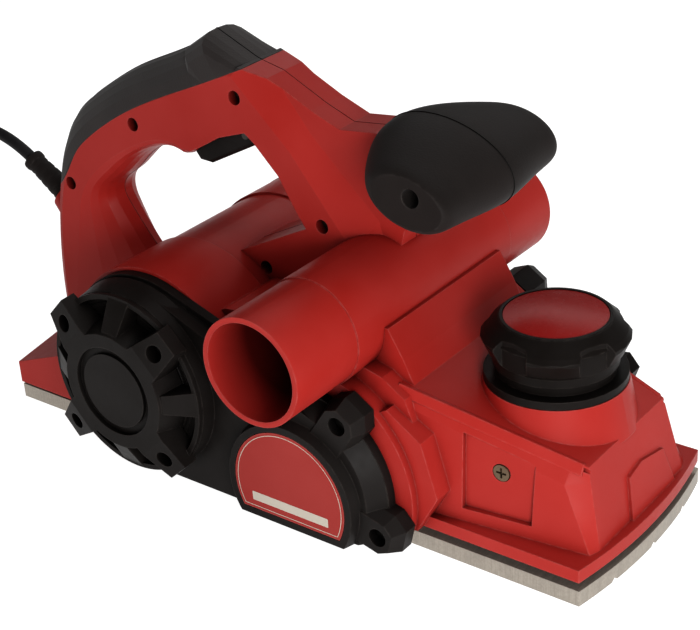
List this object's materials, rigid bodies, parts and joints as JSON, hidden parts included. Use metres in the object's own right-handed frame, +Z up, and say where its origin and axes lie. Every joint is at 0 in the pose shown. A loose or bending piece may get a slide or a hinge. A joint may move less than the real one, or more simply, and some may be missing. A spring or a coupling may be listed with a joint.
{
  "type": "electric hand planer",
  "caption": "Corded hand planer with a rear D handle, a front cross grip and depth knob, a cross chip tube, a belt-driven two-knife drum and a sole in two parts.",
  "frame": {"origin": "on the plane of the rear sole, half way across it, at its front lip behind the knives", "axes": "+X forward, in the direction of planing, +Y to the right-hand side (away from the belt cover), +Z up"},
  "size_m": [0.6135, 0.2076, 0.2115],
  "materials": {
    "red_plastic": "satin moulded",
    "red_disc": "satin",
    "black_plastic": "satin moulded",
    "soft_black": "fine matt texture",
    "cast_sole": "brushed cast",
    "label": "printed film",
    "dark_steel": "blackened",
    "steel": "ground",
    "drum_metal": "turned",
    "belt_rubber": "matt",
    "core_steel": "laminated",
    "copper": "wound wire",
    "fan_plastic": "moulded",
    "carbon": "pressed",
    "capacitor_case": "moulded",
    "cord": "smooth sheath",
    "pin_brass": "nickel plated"
  },
  "bodies": {
    "planer_body": {"rear_sole": "cast_sole", "sole_screws": "dark_steel", "main_housing": "red_plastic", "handle_left": "red_plastic", "handle_right": "red_plastic", "soft_grip": "soft_black", "handle_screws": "dark_steel", "tee_grip_left": "soft_black", "tee_grip_right": "soft_black", "tee_grip_bolts": "dark_steel", "chip_tube": "red_plastic", "belt_cover": "black_plastic", "belt_cover_screws": "dark_steel", "vent_cap": "black_plastic", "vent_cap_screws": "dark_steel", "label_plate": "label", "bearing_cover": "black_plastic", "bearing_cover_screws": "dark_steel", "fan_cover": "black_plastic", "fan_cover_screws": "dark_steel", "drum_bearings": "steel", "drive_belt": "belt_rubber", "motor_bearings": "steel", "stator_core": "core_steel", "field_windings": "copper", "brush_holders": "fan_plastic", "carbon_brushes": "carbon", "switch_body": "fan_plastic", "trigger_pin": "dark_steel", "capacitor": "capacitor_case", "cord_clamp": "fan_plastic", "scale_ring": "black_plastic", "shoe_spring": "steel", "guide_screw": "steel", "cord_guard": "soft_black", "cord_tube": "cord", "cord_coil": "cord", "cord_tail": "cord", "plug_body": "cord", "plug_pins": "pin_brass"},
    "cutter": {"cutter_drum": "drum_metal", "drum_shaft": "steel", "blades": "steel", "blade_clamps": "steel", "clamp_screws": "dark_steel", "drum_pulley": "drum_metal", "drum_pulley_nut": "steel"},
    "armature": {"armature_shaft": "steel", "armature_core": "core_steel", "commutator": "copper", "cooling_fan": "fan_plastic", "motor_pulley": "drum_metal"},
    "depth_control": {"depth_knob": "black_plastic", "knob_cap": "red_disc", "depth_spindle": "steel"},
    "front_sole": {"front_shoe": "cast_sole"},
    "trigger_key": {"trigger": "black_plastic"},
    "lock_key": {"lock_button": "black_plastic"},
    "guide_clamp": {"guide_knob": "black_plastic"}
  },
  "joints": [
    {"name": "drum_spin", "type": "hinge", "parent": "planer_body", "child": "cutter", "pos_m": [0.01, 0, 0.0275], "axis": [0, 1, 0], "continuous": true},
    {"name": "armature_spin", "type": "hinge", "parent": "planer_body", "child": "armature", "pos_m": [-0.0855, 0, 0.058], "axis": [0, 1, 0], "continuous": true},
    {"name": "depth_turn", "type": "hinge", "parent": "planer_body", "child": "depth_control", "pos_m": [0.1028, 0, 0.084], "axis": [0, 0, 1], "range_deg": [0, 300]},
    {"name": "front_sole_rise", "type": "slide", "parent": "planer_body", "child": "front_sole", "axis": [0, 0, 1], "range_m": [0, 0.003], "deforming": ["shoe_spring"]},
    {"name": "trigger_pull", "type": "hinge", "parent": "planer_body", "child": "trigger_key", "pos_m": [-0.0625, 0, 0.164], "axis": [0, 1, 0], "range_deg": [0, 8], "stiffness_Nm_per_rad": 0.5, "springref_deg": -5.73},
    {"name": "lock_push", "type": "slide", "parent": "planer_body", "child": "lock_key", "axis": [0, -1, 0], "range_m": [0, 0.004], "stiffness_N_per_m": 250, "springref_m": -0.001},
    {"name": "guide_clamp_turn", "type": "hinge", "parent": "planer_body", "child": "guide_clamp", "pos_m": [0.1015, 0.06, 0.0465], "axis": [0, 1, 0], "continuous": true}
  ],
  "couplings": [
    {"joint": "armature_spin", "follows": "drum_spin", "ratio": 1.6},
    {"joint": "depth_turn", "follows": "front_sole_rise", "rad_per_m": 1745.3}
  ]
}
